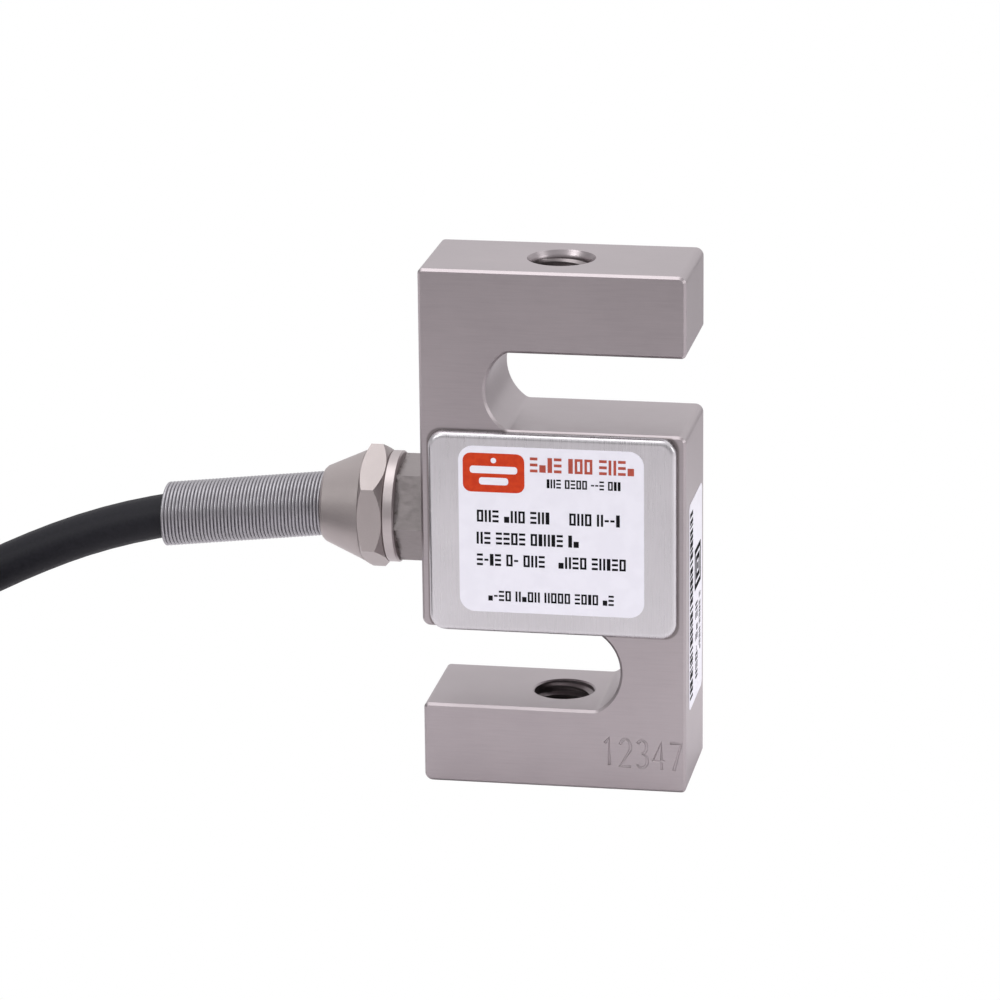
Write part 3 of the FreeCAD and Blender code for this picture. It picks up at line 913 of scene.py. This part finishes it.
# %% Finishes: the metals
METALS = {
    "body_steel": dict(dark=(0.405, 0.365, 0.38), light=(0.455, 0.41, 0.425),
                       grain=(150, 900, 3500), rough=(0.34, 0.4), bump=0.018,
                       shadow_and_grime_mask=body_shade),
    "cover_steel": dict(dark=(0.6, 0.585, 0.605), light=(0.71, 0.69, 0.715),
                        grain=(6000, 900, 90), rough=(0.26, 0.38), bump=0.06),
    "fitting_steel": dict(dark=(0.26, 0.235, 0.235), light=(0.33, 0.3, 0.3),
                          grain=(500, 2500, 500), shadow_and_grime_mask=joint_residue),
    "nut_steel": dict(dark=(0.41, 0.37, 0.365), light=(0.48, 0.43, 0.425),
                      grain=(4000, 4000, 4000), rough=(0.4, 0.5), bump=0.12),
    "ring_steel": dict(dark=(0.46, 0.415, 0.415), light=(0.52, 0.47, 0.47),
                       grain=(300, 600, 600), rough=(0.36, 0.42), bump=0.01),
    "spring_steel": dict(dark=(0.36, 0.35, 0.37), light=(0.43, 0.42, 0.445),
                         grain=(900, 900, 900), rough=(0.36, 0.44), bump=0.01),
    "tinned_copper": dict(dark=(0.6, 0.58, 0.56), light=(0.75, 0.73, 0.7),
                          grain=(900, 900, 900)),
}
finishes = {name: metal(name, **look) for name, look in METALS.items()}
print(len(METALS), "metals")

# %% [markdown]
# ## Finishes: foil, ink, cable and rubber
# These have no metal's shine of their own, only a thin clear one on top of their colour. A
# plain colour would do from afar, but close up every moulded or printed surface has fine
# specks. So one recipe takes a fine even noise for colour, roughness and relief.

# %% Finishes: foil, ink, cable and rubber
def plastic(name, dark, light, rough=(0.45, 0.6), grain=900, bump=0.05, specular=0.5):
    """A colour from dark to light. The grain is how many specks there are in a metre."""
    def build(graph):
        specks = graph.noise((grain, grain, grain), 2.0)
        return graph.node("ShaderNodeBsdfPrincipled", {}, {
            "Base Color": specks.clamp(0.35, 0.65).blend(dark, light),
            "Specular IOR Level": specular,
            "Roughness": specks.clamp(NOISE_LOW, NOISE_HIGH, *rough),
            "Normal": relief(graph, specks, bump)})
    return new_material(name, build)


OUTER_PLASTICS = {
    "label_foil": dict(dark=(0.9, 0.89, 0.97), light=(0.93, 0.92, 1.0), rough=(0.3, 0.36),
                       grain=300, bump=0.01),
    "print_red": dict(dark=(0.6, 0.038, 0.005), light=(0.67, 0.052, 0.008), specular=0.25),
    "print_dull_red": dict(dark=(0.42, 0.06, 0.035), light=(0.5, 0.08, 0.045)),
    "print_black": dict(dark=(0.006, 0.006, 0.008), light=(0.012, 0.012, 0.014),
                        rough=(0.75, 0.9), specular=0.06),
    "cable_jacket": dict(dark=(0.0105, 0.0105, 0.0145), light=(0.0145, 0.014, 0.019),
                         rough=(0.5, 0.6), grain=1500, bump=0.03, specular=0.22),
    "tie_plastic": dict(dark=(0.015, 0.015, 0.015), light=(0.025, 0.025, 0.025)),
    "seal_rubber": dict(dark=(0.02, 0.02, 0.02), light=(0.03, 0.03, 0.03)),
}
finishes.update({name: plastic(name, **look) for name, look in OUTER_PLASTICS.items()})
print(len(OUTER_PLASTICS), "finishes outside")

# %% [markdown]
# ## Finishes: inside the housing
# Behind the covers are the cores, the foil gauges, the solder boards and the trim
# resistors. Nobody sees them while the covers are on, so they could stay grey. They get
# their usual colours, since a part in a library may be opened or cut away.

# %% Finishes: inside the housing
INNER_PLASTICS = {
    "insulation_red": dict(dark=(0.5, 0.02, 0.02), light=(0.6, 0.03, 0.03)),
    "insulation_black": dict(dark=(0.01, 0.01, 0.01), light=(0.02, 0.02, 0.02)),
    "insulation_green": dict(dark=(0.02, 0.3, 0.08), light=(0.03, 0.36, 0.1)),
    "insulation_white": dict(dark=(0.75, 0.75, 0.73), light=(0.8, 0.8, 0.78)),
    "gauge_foil": dict(dark=(0.65, 0.35, 0.08), light=(0.75, 0.45, 0.12)),
    "board_laminate": dict(dark=(0.03, 0.22, 0.1), light=(0.05, 0.28, 0.14)),
    "resistor_body": dict(dark=(0.015, 0.015, 0.015), light=(0.03, 0.03, 0.03)),
}
finishes.update({name: plastic(name, **look) for name, look in INNER_PLASTICS.items()})
print(len(INNER_PLASTICS), "finishes inside")

# %% [markdown]
# ## Finishes: onto the pieces
# The part file says which finish each solid has. They could be put on one by one, but a
# loop can't forget a piece. Only the ring differs, as it is brighter than the fitting next
# to it. The pieces made here come after, each with the finish of what it stands for.

# %% Finishes: onto the pieces
finish_of = {entry["node"]: entry["material_slot"] for entry in frame["record"]["subparts"]}
finish_of["gland_ring"] = "ring_steel"
for name, node in frame["nodes"].items():
    for material_slot in node.material_slots:
        material_slot.material = finishes[finish_of[name]]

own_finish = {
    cable: "cable_jacket", relief_spring: "spring_steel", upper_thread: "body_steel",
    lower_thread: "body_steel", engraved_body: "body_steel", badge: "print_red",
    badge_marks: "label_foil", heading: "print_dull_red", print_rows: "print_black",
    side_print: "print_black"}
for piece, finish in own_finish.items():
    piece.data.materials.clear()
    piece.data.materials.append(finishes[finish])
print(len(finishes), "finishes on", len(frame["nodes"]) + len(own_finish), "pieces")

# %% [markdown]
# ## Floor
# Bright steel mirrors the table that it stands on. In a studio that is white paper, lit
# under the object and darker further off. One plain white floor could do, but then the
# steel would lose its dark side. So the camera sees plain white, and everything else sees
# paper whose colour fades with the distance in front of the object and behind it, a
# painted pool of light round the object.

# %% Floor
# Half the floor's width in metres, and the paper's colours far off and under the object,
# which make a painted pool of light.
FLOOR_HALF = 4
WHITE = (1, 1, 1)
DIM_PAPER, LIT_PAPER = (0.4, 0.385, 0.39), (0.98, 0.96, 0.98)
floor_corners = [Vector((x * FLOOR_HALF, y * FLOOR_HALF, 0))
                 for x, y in ((-1, -1), (1, -1), (1, 1), (-1, 1))]
floor_mesh = mesh_from("floor", floor_corners, [(0, 1, 2, 3)])
floor = bpy.data.objects.new("floor", floor_mesh)
bpy.context.collection.objects.link(floor)


def floor_surface(graph):
    """White to the camera, and to the rest paper with a painted pool of light that fades off.
    Distances are in metres.
    """
    to_camera = graph.node("ShaderNodeLightPath")
    behind = graph.place((1, 1, 1)).along(1)
    # Painted pool of light: the paper's colour is lightest under the object and darker further
    # off in front and behind.
    painted_pool_of_light = behind.clamp(-0.5, 0.05) * (1 - 0.7 * behind.clamp(0.07, 0.3))
    paper = graph.node("ShaderNodeBsdfPrincipled", {}, {
        "Base Color": painted_pool_of_light.blend(DIM_PAPER, LIT_PAPER),
        "Roughness": 1.0, "Specular IOR Level": 0.0})
    white = graph.node("ShaderNodeEmission", {}, {"Color": opaque(WHITE), "Strength": 1.0})
    return graph.node("ShaderNodeMixShader", {}, {0: to_camera, 1: paper, 2: white})


floor_mesh.materials.append(new_material("floor_white", floor_surface))
print("floor", 2 * FLOOR_HALF, "m wide")

# %% [markdown]
# ## Room
# The steel's soft shine comes from the walls round it. A real room could be loaded as an
# environment image, but a soft glow from a formula needs no file and has no windows to turn
# up in the steel. It is brighter behind the object and overhead. The camera sees plain
# white.

# %% Room
# The glow of all walls, and how much more there is behind and overhead.
GLOW, MORE_GLOW = 0.42, 0.5
WALL_WHITE = (1.0, 0.985, 1.0)

world = bpy.data.worlds.new("studio")
bpy.context.scene.world = world
world.use_nodes = True
room = Graph(world.node_tree)
direction = room.node("ShaderNodeTexCoord")
behind = direction.along(1).clamp(0.0, 0.9, 0.0, MORE_GLOW)
overhead = direction.along(2).clamp(0.35, 0.95, 0.0, MORE_GLOW)
walls = room.node("ShaderNodeBackground", {}, {
    "Color": opaque(WALL_WHITE), "Strength": GLOW + behind + overhead})
backdrop = room.node("ShaderNodeBackground", {}, {"Color": opaque(WHITE), "Strength": 1.0})
room.node("ShaderNodeOutputWorld", {}, {"Surface": room.node("ShaderNodeMixShader", {}, {
    0: room.node("ShaderNodeLightPath"), 1: walls, 2: backdrop})})
bpy.context.scene.view_settings.view_transform = "Standard"
print("room", len(world.node_tree.nodes), "nodes")

# %% [markdown]
# ## Lamps
# Softboxes give the object its soft shadows and the bright lines along its edges. A sun or
# a point lamp would be simpler, but its shadows have hard edges. Three large area lamps
# stand overhead, at the front left and at the right, all turned to the object's middle.

# %% Lamps
AIM = Vector((0.0, 0.0, 0.055))
# Each lamp's place and size in metres, and its power in watts.
LAMPS = {"overhead": ((-0.15, -0.1, 1.1), 0.8, 3.2),
         "front_left": ((-0.9, -1.1, 0.9), 0.7, 6.0),
         "right_side": ((1.2, -0.2, 0.5), 0.6, 2.5)}
for name, (place, size, power) in LAMPS.items():
    lamp = bpy.data.lights.new(name, "AREA")
    lamp.size = size
    lamp.energy = power
    holder = bpy.data.objects.new(name, lamp)
    facing = (Vector(place) - AIM).to_track_quat("Z", "Y").to_matrix().to_4x4()
    holder.matrix_world = Matrix.Translation(Vector(place)) @ facing
    bpy.context.collection.objects.link(holder)
print(len(LAMPS), "lamps")
